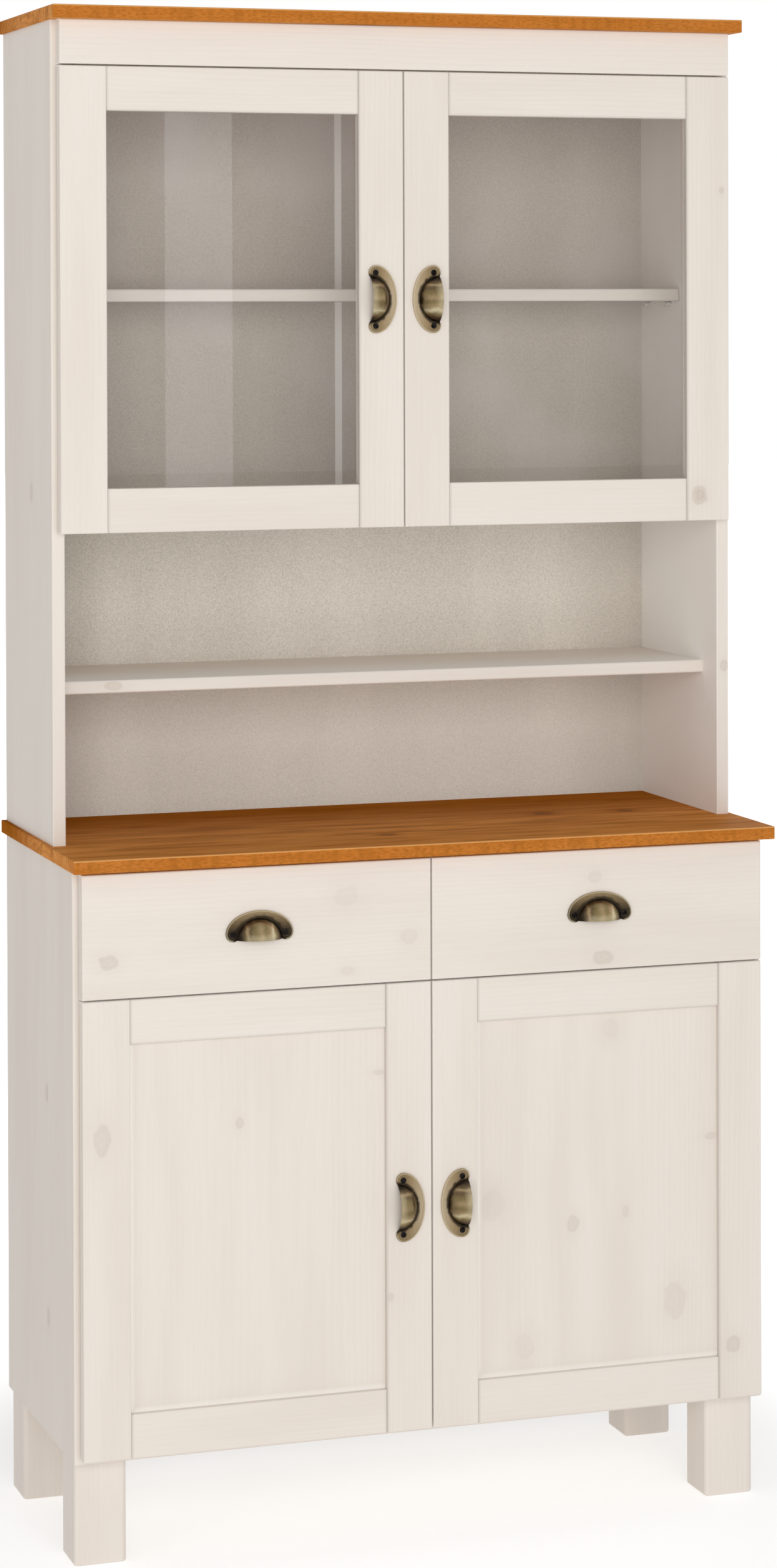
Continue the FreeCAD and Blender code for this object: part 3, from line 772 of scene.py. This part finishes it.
def panel_speckle(place):
    """Fine dots, and the same dots with blots and clouds."""
    dots = spread(noise(place, 1100.0, 1.0), 0.35, 0.68)
    blots = spread(noise(place, 320.0, 2.0), 0.3, 0.7, 0.0, 0.2)
    clouds = drawn_noise(place, (14.0, 14.0, 3.0), 3.0)
    speckle = maths("MULTIPLY_ADD", dots, 0.62, blots)
    speckle = maths("ADD", speckle, spread(clouds, 0.3, 0.7, 0.0, 0.15))
    return dots, speckle


def back_board(node_name, light, dark, bare_axis, painted_light_below=None):
    """Coat a thin panel, and leave its face at the high end of Y, or the low end of Z, bare."""
    material, tree, shader = new_material("back_board_" + node_name)
    place = object_place(tree)
    part = axes(place)
    low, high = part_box(node_name)
    dots, speckle = panel_speckle(place)
    coat = mix(speckle, light, dark)
    if painted_light_below:
        # Painted light, lighter and cooler below the shelf.
        fade_end = painted_light_below - board_thickness
        lower = spread(part["Z"], painted_light_below, fade_end, 0.0, painted_light_share)
        coat = mix(lower, coat, coat_painted_light)
        # Painted shade towards the left and right ends.
        ends = sides_near(place, low, high, painted_shade_reach)
        coat = tint(coat, ends["Upright"], painted_shade_share, painted_shade_brown)
    else:
        # Painted reflection: a violet haze in wide clouds.
        painted_reflection = spread(noise(place, 5.5, 2.0), 0.45, 0.66, 0.0, 0.45)
        coat = mix(painted_reflection, coat, painted_reflection_violet)
    if bare_axis == "Y":
        bare = spread(part["Y"], high.y - bare_start, high.y - bare_full)
    else:
        bare = spread(part["Z"], low.z + bare_start, low.z + bare_full)
    fibres = mix(speckle, fibre_light, fibre_dark)
    feed(shader.inputs["Base Color"], mix(bare, coat, fibres))
    feed(shader.inputs["Roughness"], spread(dots, 0.0, 1.0, 0.55, 0.7))
    bump(shader, dots, 0.0002, 0.25)
    dress(node_name, material)


back_board("open_back", coat_light, coat_dark, "Y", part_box("open_shelf")[1].z)
back_board("base_back", coat_light, coat_dark, "Y")
# The backs behind the glass get the painted shade colours.
back_board("glazed_backs", painted_shade_light, painted_shade_dark, "Y")
back_board("drawer_left_bottom", coat_light, coat_dark, "Z")
back_board("drawer_right_bottom", coat_light, coat_dark, "Z")
print("fibre board: three backs and two drawer bottoms")

# %% [markdown]
# Bare pine
#
# Drawer boxes and runners are left unpainted: pale pine with clear rings, seen in an open drawer.

# %% Drawer boxes and runners
bare_light = (0.66, 0.46, 0.26, 1)
bare_dark = (0.47, 0.27, 0.11, 1)


def bare_pine(node_name, grain):
    material, tree, shader = new_material("bare_pine_" + node_name)
    position = board_position(tree, node_name, grain)
    figure = place_group(pine_figure, Position=position, Spacing=0.005, Waviness=0.04)
    rings = maths("MULTIPLY", figure["Rings"], 0.55)
    grain_share = maths("MULTIPLY_ADD", figure["Fibre"], 0.25, rings)
    colour = mix(grain_share, bare_light, bare_dark)
    colour_and_gloss(shader, colour, figure["Fibre"], 0.55, 0.72)
    bump(shader, figure["Fibre"], 0.0003, 0.3)
    dress(node_name, material)


for hand in ("left", "right"):
    bare_pine(f"drawer_{hand}_sides", "y")
    bare_pine(f"drawer_{hand}_back", "x")
bare_pine("drawer_runners", "y")
print("bare pine: drawer boxes and runners")

# %% [markdown]
# Antique brass
#
# The cup pulls are pressed metal, plated, darkened and then polished back. Light and dark bands across
# the dome are painted reflections, laid out by a colour ramp. Each pull reads its own place: the length
# along the flange, the height over the front board and the way up from the straight edge.

# %% The place on a pull and the bands of its dome
brass_bright = (0.66, 0.57, 0.37, 1)
brass_pale = (0.56, 0.45, 0.31, 1)
brass_tan = (0.35, 0.25, 0.135, 1)
brass_olive = (0.22, 0.165, 0.070, 1)
brass_brown = (0.115, 0.076, 0.040, 1)
brass_dark = (0.022, 0.016, 0.011, 1)
dome_half = 0.030
# painted reflections: light and dark bands across the dome, by place along it
reflection_bands = [
    (-0.025, brass_dark), (-0.020, brass_brown), (-0.0175, brass_tan), (-0.014, brass_brown),
    (-0.007, brass_olive), (-0.001, brass_tan), (0.005, brass_olive), (0.010, brass_tan),
    (0.0145, brass_bright), (0.018, brass_olive), (0.022, brass_brown), (0.026, brass_dark),
]


def pull_position(tree, node_name):
    """The place on a pull: along its length, over the front board, up from its straight edge.
    The second value says which way along the pull its right or lower end lies."""
    low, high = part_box(node_name)
    middle = (low + high) / 2
    way = 1
    if node_name.startswith("drawer"):
        start = Vector((middle.x, high.y, low.z))
        turn = 0
    elif middle.x > 0:
        start = Vector((high.x, high.y, middle.z))
        turn = math.pi / 2
        way = -1
    else:
        start = Vector((low.x, high.y, middle.z))
        turn = -math.pi / 2
    place = add_node(tree, "Mapping")
    feed(place.inputs["Rotation"], (0, turn, 0))
    feed(place.inputs["Location"], -(Matrix.Rotation(turn, 3, "Y") @ start))
    feed(place.inputs["Vector"], object_place(tree))
    return place.outputs["Vector"], way


def dome_reflections(along):
    """Painted reflections: bands of colour along the dome, from one flank to the other."""
    ramp = add_node(along.id_data, "ValToRGB")
    stops = ramp.color_ramp.elements
    share = maths("MULTIPLY_ADD", along, 0.5 / dome_half, 0.5)
    feed(ramp.inputs["Fac"], share)
    for place, colour in reflection_bands:
        stop = stops.new(0.5 + 0.5 * place / dome_half)
        stop.color = colour
    stops[0].color = brass_dark
    stops[-1].color = brass_dark
    return ramp.outputs["Color"]


print("pull helpers ready")

# %% [markdown]
# Flange, dome and hollow
#
# The flange is paler towards its crest, a painted highlight, and darker on the lobes at its ends; on
# door pulls the flange is paler and the lobes less dark. The dome has its painted reflection bands, a
# painted reflection along its lip and painted shade on its upper part. An oval through the foot of the
# dome marks the hollow, where the coat stays dark.

# %% The antique brass finish
dome_foot = Vector((0.0290, 1.0, 0.0262))
lip_rise = 0.0016
rim_height = 0.0025
on_front = (1.0, 0.0, 1.0)


def pull_flange(part, along, on_drawer):
    low = brass_brown if on_drawer else brass_tan
    high = brass_tan if on_drawer else brass_pale
    lobe_share = 0.85 if on_drawer else 0.3
    # Painted highlight, paler towards the crest of the flange.
    crest_highlight = spread(part["Z"], 0.016, 0.036, 0.0, 0.8)
    flange = mix(crest_highlight, low, high)
    near_lobe = spread(part["Z"], 0.021, 0.010)
    lobe = maths("MULTIPLY", spread(along, 0.023, 0.029), near_lobe)
    return tint(flange, lobe, lobe_share, brass_dark)


def pull_dome(part, along, way, uneven):
    drift = maths("MULTIPLY", uneven, 0.006)
    dome = dome_reflections(maths("MULTIPLY_ADD", part["X"], way, drift))
    # Painted reflection, paler along the lip of the dome.
    lip_reflection = spread(part["Z"], 0.012, 0.003, 0.0, 0.45)
    dome = tint(dome, lip_reflection, spread(along, 0.024, 0.012), brass_bright)
    # Painted shade, darker on the upper part of the dome.
    upper = spread(part["Z"], 0.014, 0.026, 0.0, 0.6)
    return mix(upper, dome, brass_brown)


def dome_distance(place):
    """How far out a point lies on the front board: 1 is the oval at the foot of the dome."""
    oval = vector_maths("SUBTRACT", place, (0.0, 0.0, lip_rise))
    oval = vector_maths("DIVIDE", oval, dome_foot)
    oval = vector_maths("MULTIPLY", oval, on_front)
    return vector_maths("LENGTH", oval, output="Value")


def antique_brass(node_name):
    on_drawer = node_name.startswith("drawer")
    hollow_width = 0.20 if on_drawer else 0.14
    material, tree, shader = new_material("antique_brass_" + node_name)
    place, way = pull_position(tree, node_name)
    part = axes(place)
    along = maths("ABSOLUTE", part["X"])
    proud = maths("MULTIPLY", part["Y"], -1.0)
    outward = dome_distance(place)
    streaks = drawn_noise(place, (40.0, 1500.0, 2600.0), 3.0)
    uneven = maths("SUBTRACT", noise(place, 110.0, 3.0), 0.5)

    flange = pull_flange(part, along, on_drawer)
    dome = pull_dome(part, along, way, uneven)
    colour = mix(spread(outward, 1.02, 0.98), flange, dome)
    brushed = spread(streaks, 0.45, 0.75, 0.0, 0.12)
    colour = mix(brushed, colour, brass_bright)
    dull = spread(streaks, 0.52, 0.28, 0.0, 0.18)
    colour = mix(dull, colour, brass_dark)
    from_foot = maths("ABSOLUTE", maths("SUBTRACT", outward, 1.0))
    from_foot = maths("MULTIPLY_ADD", uneven, 0.25, from_foot)
    colour = tint(colour, spread(from_foot, hollow_width, 0.03), 0.9, brass_dark)
    # Painted highlight along the raised outer rim of the flange.
    high = spread(proud, rim_height - 0.0005, rim_height - 0.0001)
    rim_highlight = maths("MULTIPLY", high, spread(outward, 1.1, 1.18))
    colour = tint(colour, rim_highlight, 0.42, brass_bright)

    colour_and_gloss(shader, colour, streaks, 0.20, 0.32)
    shader.inputs["Metallic"].default_value = 1.0
    bump(shader, streaks, 0.0001, 0.2)
    dress(node_name, material)


pulls = [name for name in nodes if name.endswith("_pull")]
for pull_name in pulls:
    antique_brass(pull_name)
print("pulls:", len(pulls))

# %% [markdown]
# Steel: screws, hinges and pins
#
# The pull screws are blackened steel, the hinges are bright plated steel and the shelf pins are satin.
# All carry a fine uneven film from handling, which changes the gloss more than the colour.

# %% The steel finishes
def steel(node_name, light, dark, rough_low, rough_high):
    material, tree, shader = new_material("steel_" + node_name)
    film = noise(object_place(tree), 350.0, 3.0)
    colour = mix(spread(film, 0.35, 0.7), light, dark)
    colour_and_gloss(shader, colour, film, rough_low, rough_high)
    shader.inputs["Metallic"].default_value = 1.0
    bump(shader, film, 0.0001, 0.15)
    return material


black_light = (0.030, 0.027, 0.024, 1)
black_dark = (0.008, 0.007, 0.006, 1)
plated_light = (0.66, 0.65, 0.62, 1)
plated_dark = (0.50, 0.49, 0.46, 1)
satin_light = (0.87, 0.85, 0.81, 1)
satin_dark = (0.75, 0.73, 0.69, 1)
for node_name in nodes:
    if node_name.endswith("pull_screws"):
        dress(node_name, steel(node_name, black_light, black_dark, 0.35, 0.5))
    elif node_name.endswith("hinge_cups") or node_name == "hinge_arms":
        dress(node_name, steel(node_name, plated_light, plated_dark, 0.22, 0.36))
    elif node_name == "shelf_pins":
        dress(node_name, steel(node_name, satin_light, satin_dark, 0.5, 0.62))
print("steel: screws, hinges, pins")

# %% [markdown]
# Glass and the strip between the back panels
#
# The panes are clear float glass. A solid pane would stop the lamps, because a ray towards a lamp
# can't bend through it, so the material lets those rays pass straight on. Faint smears in the
# roughness keep the reflections from being perfect. The strip is a matt moulded profile.

# %% The glass and the joint strip
glass_tint = (0.96, 0.965, 0.96, 1)
passed_light = (0.97, 0.97, 0.97, 1)
smear_stretch = (3.0, 3.0, 0.8)
strip_light = (0.90, 0.87, 0.83, 1)
strip_dark = (0.82, 0.78, 0.73, 1)


def clear_glass(node_name):
    material, tree, shader = new_material("clear_glass_" + node_name)
    place = object_place(tree)
    smear = noise(vector_maths("MULTIPLY", place, smear_stretch), 4.0, 4.0)
    feed(shader.inputs["Roughness"], spread(smear, 0.45, 0.8, 0.0, 0.0012))
    shader.inputs["Base Color"].default_value = glass_tint
    shader.inputs["Transmission Weight"].default_value = 1.0
    shader.inputs["IOR"].default_value = 1.45
    rays = add_node(tree, "LightPath")
    clear = add_node(tree, "BsdfTransparent")
    clear.inputs["Color"].default_value = passed_light
    through = add_node(tree, "MixShader")
    passing = maths("MAXIMUM", rays.outputs["Is Shadow Ray"], rays.outputs["Is Diffuse Ray"])
    feed(through.inputs[0], passing)
    feed(through.inputs[1], shader.outputs["BSDF"])
    feed(through.inputs[2], clear.outputs["BSDF"])
    feed(tree.nodes["Material Output"].inputs["Surface"], through.outputs["Shader"])
    dress(node_name, material)


def moulded_strip(node_name):
    material, tree, shader = new_material("moulded_strip_" + node_name)
    pebble = noise(object_place(tree), 1200.0, 2.0)
    colour = mix(pebble, strip_light, strip_dark)
    colour_and_gloss(shader, colour, pebble, 0.42, 0.55)
    bump(shader, pebble, 0.0001, 0.2)
    dress(node_name, material)


clear_glass("hutch_door_left_glass")
clear_glass("hutch_door_right_glass")
moulded_strip("back_joint_strip")
print("glass panes: 2, joint strip: 1")

# %% [markdown]
# Screws of the hinges
#
# Each hinge cup is held by two screws through its ears, and each mounting plate by two more. A head
# starts as a disc: its face is extruded up, drawn in for the rounded shoulder, and inset and pushed
# down for the drive.

# %% Hinge screws
head_radius = 0.0032
head_height = 0.0009
drive_depth = 0.0007
shoulder_share = 0.3
shoulder_rise = 0.25
ledge_share = 0.25
drive_share = 0.1
ear_half_span = 0.028
ear_offset = 0.0095
ear_screw = 0.0225
plate_screw = 0.016
plate_setback = 0.037
plate_thickness = 0.0025


def screw_head(shape, place, outward):
    """Add one screw head to a bmesh, with its flat side on the place and its drive facing outward."""
    turn = Vector((0, 0, 1)).rotation_difference(Vector(outward)).to_matrix().to_4x4()
    stand = Matrix.Translation(Vector(place)) @ turn
    ring = bmesh.ops.create_circle(shape, cap_ends=True, segments=16, radius=head_radius, matrix=stand)
    disc = ring["verts"][0].link_faces[0]
    grown = bmesh.ops.extrude_face_region(shape, geom=[disc])
    top = [item for item in grown["geom"] if isinstance(item, bmesh.types.BMFace)]
    lifted = [item for item in grown["geom"] if isinstance(item, bmesh.types.BMVert)]
    bmesh.ops.translate(shape, verts=lifted, vec=Vector(outward) * head_height)
    shoulder = head_radius * shoulder_share
    bmesh.ops.inset_region(shape, faces=top, thickness=shoulder, depth=head_height * shoulder_rise)
    bmesh.ops.inset_region(shape, faces=top, thickness=head_radius * ledge_share, depth=0.0)
    bmesh.ops.inset_region(shape, faces=top, thickness=head_radius * drive_share, depth=-drive_depth)


def finished_piece(name, shape, material, body):
    """Turn a bmesh into a piece that rides on a body."""
    bmesh.ops.recalc_face_normals(shape, faces=shape.faces)
    mesh = bpy.data.meshes.new(name)
    shape.to_mesh(mesh)
    shape.free()
    mesh.materials.append(material)
    piece = bpy.data.objects.new(name, mesh)
    scene.collection.objects.link(piece)
    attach(piece, body)
    return piece


screw_steel = steel("hinge_screws", plated_light, plated_dark, 0.25, 0.38)
plate_shape = bmesh.new()
for stage_name in ("hutch", "base"):
    for hand, inward in (("left", 1), ("right", -1)):
        door = f"{stage_name}_door_{hand}"
        low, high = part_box(door + "_hinge_cups")
        ear_middle = (low.x + high.x) / 2 + inward * ear_offset
        side_low, side_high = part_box(f"{stage_name}_side_{hand}")
        plate_x = (side_low.x if hand == "right" else side_high.x) + inward * plate_thickness
        ear_shape = bmesh.new()
        for height in (low.z + ear_half_span, high.z - ear_half_span):
            for way in (-1, 1):
                screw_head(ear_shape, (ear_middle, high.y, height + way * ear_screw), (0, 1, 0))
                plate_place = (plate_x, side_low.y + plate_setback, height + way * plate_screw)
                screw_head(plate_shape, plate_place, (inward, 0, 0))
        finished_piece(door + "_hinge_screws", ear_shape, screw_steel, door)
finished_piece("hinge_plate_screws", plate_shape, screw_steel, "carcass")
print("hinge screws on four doors and their plates")

# %% [markdown]
# Nails of the back panels
#
# Thin backs are nailed into the rebates of the sides and into the boards between them. The heads are
# small flattened balls, set in rows at an even pitch and half sunk in the panel.

# %% Back nails
nail_radius = 0.0017
nail_flatness = 0.35
nail_pitch = 0.115
nail_inset = 0.0045
upright_end_gap = 0.03
level_end_gap = 0.06


def nail_row(shape, start, end):
    """A row of nail heads from one point to another, at about the even pitch."""
    start = Vector(start)
    end = Vector(end)
    count = max(2, round((end - start).length / nail_pitch) + 1)
    for step in range(count):
        place = start.lerp(end, step / (count - 1))
        stand = Matrix.Translation(place) @ Matrix.Diagonal((1, nail_flatness, 1, 1))
        bmesh.ops.create_uvsphere(shape, u_segments=8, v_segments=6, radius=nail_radius, matrix=stand)


def level_row(shape, low, high, rear, level):
    first = (low.x + level_end_gap, rear, level)
    last = (high.x - level_end_gap, rear, level)
    nail_row(shape, first, last)


nail_shape = bmesh.new()
nailed = (("base_back", 0.008), ("open_back", 0.004), ("glazed_backs", 0.004))
for panel_name, end_inset in nailed:
    low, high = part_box(panel_name)
    for x in (low.x + nail_inset, high.x - nail_inset):
        lowest = (x, high.y, low.z + upright_end_gap)
        highest = (x, high.y, high.z - upright_end_gap)
        nail_row(nail_shape, lowest, highest)
    level_row(nail_shape, low, high, high.y, low.z + end_inset)
for board_name in ("drawer_board", "open_shelf"):
    low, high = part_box(board_name)
    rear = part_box("open_back")[1].y
    level_row(nail_shape, low, high, rear, (low.z + high.z) / 2)
nail_steel = steel("back_nails", plated_light, plated_dark, 0.3, 0.45)
nail_piece = finished_piece("back_nails", nail_shape, nail_steel, "carcass")
print("back nails:", len(nail_piece.data.polygons), "faces")

# %% [markdown]
# Camera
#
# The photograph looks at the cupboard from its left, with a long lens held level: upright edges stay
# nearly upright, and the picture is framed by shifting the lens. The place, the turn and the lens were
# found by matching corners of the boards.

# %% The camera
camera_place = Vector((-1.4944, -4.5008, 1.4911))
camera_yaw = math.radians(18.568)
camera_pitch = math.radians(0.693)
camera_roll = math.radians(-0.177)
camera_data = bpy.data.cameras.new("camera")
camera_data.lens = 86.42
camera_data.sensor_width = 36.0
camera_data.shift_x = -0.0054
camera_data.shift_y = -0.27
camera = bpy.data.objects.new("camera", camera_data)
scene.collection.objects.link(camera)
turned = Matrix.Rotation(-camera_yaw, 4, "Z") @ Matrix.Rotation(math.pi / 2 - camera_pitch, 4, "X")
camera.matrix_world = Matrix.Translation(camera_place) @ turned @ Matrix.Rotation(camera_roll, 4, "Z")
scene.camera = camera
print("camera at", tuple(round(v, 3) for v in camera.location))

# %% [markdown]
# Floor
#
# The cupboard stands on a plain pale floor that glows a little, as a lit table does, so the feet and the
# sides get soft light from below. To the camera it glows more with the distance, up to plain white.

# %% The floor
floor_pale = (0.80, 0.80, 0.80, 1)
floor_grey = (0.77, 0.77, 0.77, 1)
white = (1, 1, 1, 1)
floor_reach = 30.0
floor_light = 0.31
glow_near = 0.16
glow_far = 0.8
floor_mesh = bpy.data.meshes.new("floor")
floor_shape = bmesh.new()
bmesh.ops.create_grid(floor_shape, x_segments=2, y_segments=2, size=floor_reach)
floor_shape.to_mesh(floor_mesh)
floor_shape.free()
floor = bpy.data.objects.new("floor", floor_mesh)
scene.collection.objects.link(floor)

floor_material, tree, shader = new_material("pale_floor")
place = object_place(tree)
mottle = noise(place, 3.0, 3.0)
feed(shader.inputs["Base Color"], mix(mottle, floor_pale, floor_grey))
shader.inputs["Roughness"].default_value = 0.9
shader.inputs["Specular IOR Level"].default_value = 0.0
shader.inputs["Emission Color"].default_value = white
rays = add_node(tree, "LightPath")
away = vector_maths("LENGTH", place, output="Value")
glow = spread(away, 0.5, 1.2, glow_near, glow_far)
glow = maths("MULTIPLY", rays.outputs["Is Camera Ray"], glow)
feed(shader.inputs["Emission Strength"], maths("ADD", glow, floor_light))
floor_mesh.materials.append(floor_material)
print("floor:", floor.name)

# %% [markdown]
# Background
#
# Camera, glossy and transmission rays see white, while the light that the world gives stays lower.

# %% The world
world_light = 0.45
world = bpy.data.worlds.new("studio")
scene.world = world
world.use_nodes = True
tree = world.node_tree
background = tree.nodes["Background"]
background.inputs["Color"].default_value = white
rays = add_node(tree, "LightPath")
seen = maths("MAXIMUM", rays.outputs["Is Camera Ray"], rays.outputs["Is Glossy Ray"])
seen = maths("MAXIMUM", seen, rays.outputs["Is Transmission Ray"])
feed(background.inputs["Strength"], spread(seen, 0.0, 1.0, world_light, 1.0))
print("world:", world.name)

# %% [markdown]
# Lamps
#
# One large lamp in front lifts the fronts, a weak one lifts the left side, and a narrow strip far in
# front shows as a pale band in the left pane. Only that strip is mirrored, so the panes stay clear of
# the large lamps.

# %% The lamps
def soft_lamp(name, place, target, width, height, power, mirrored):
    """A lamp that looks from its place at a target; sizes are in metres, power in watts."""
    data = bpy.data.lights.new(name, "AREA")
    data.shape = "RECTANGLE"
    data.size = width
    data.size_y = height
    data.energy = power
    lamp = bpy.data.objects.new(name, data)
    scene.collection.objects.link(lamp)
    lamp.location = place
    lamp.rotation_euler = (Vector(target) - Vector(place)).to_track_quat("-Z", "Y").to_euler()
    lamp.visible_camera = False
    lamp.visible_glossy = mirrored


soft_lamp("front_lamp", (-0.85, -5.4, 1.9), (0, 0, 0.9), 3.8, 2.7, 119, False)
soft_lamp("side_lamp", (-4.4, -2.7, 1.1), (0, 0, 0.95), 2.6, 2.2, 31, False)
soft_lamp("strip_lamp", (1.11, -5.0, 1.55), (1.11, 0, 1.55), 0.18, 1.5, 0.85, True)
scene.view_settings.view_transform = "Standard"
print("lamps: front, side and strip")

# %% [markdown]
# The dressed cupboard has to fill the same box as its solids.


print("scene ready")
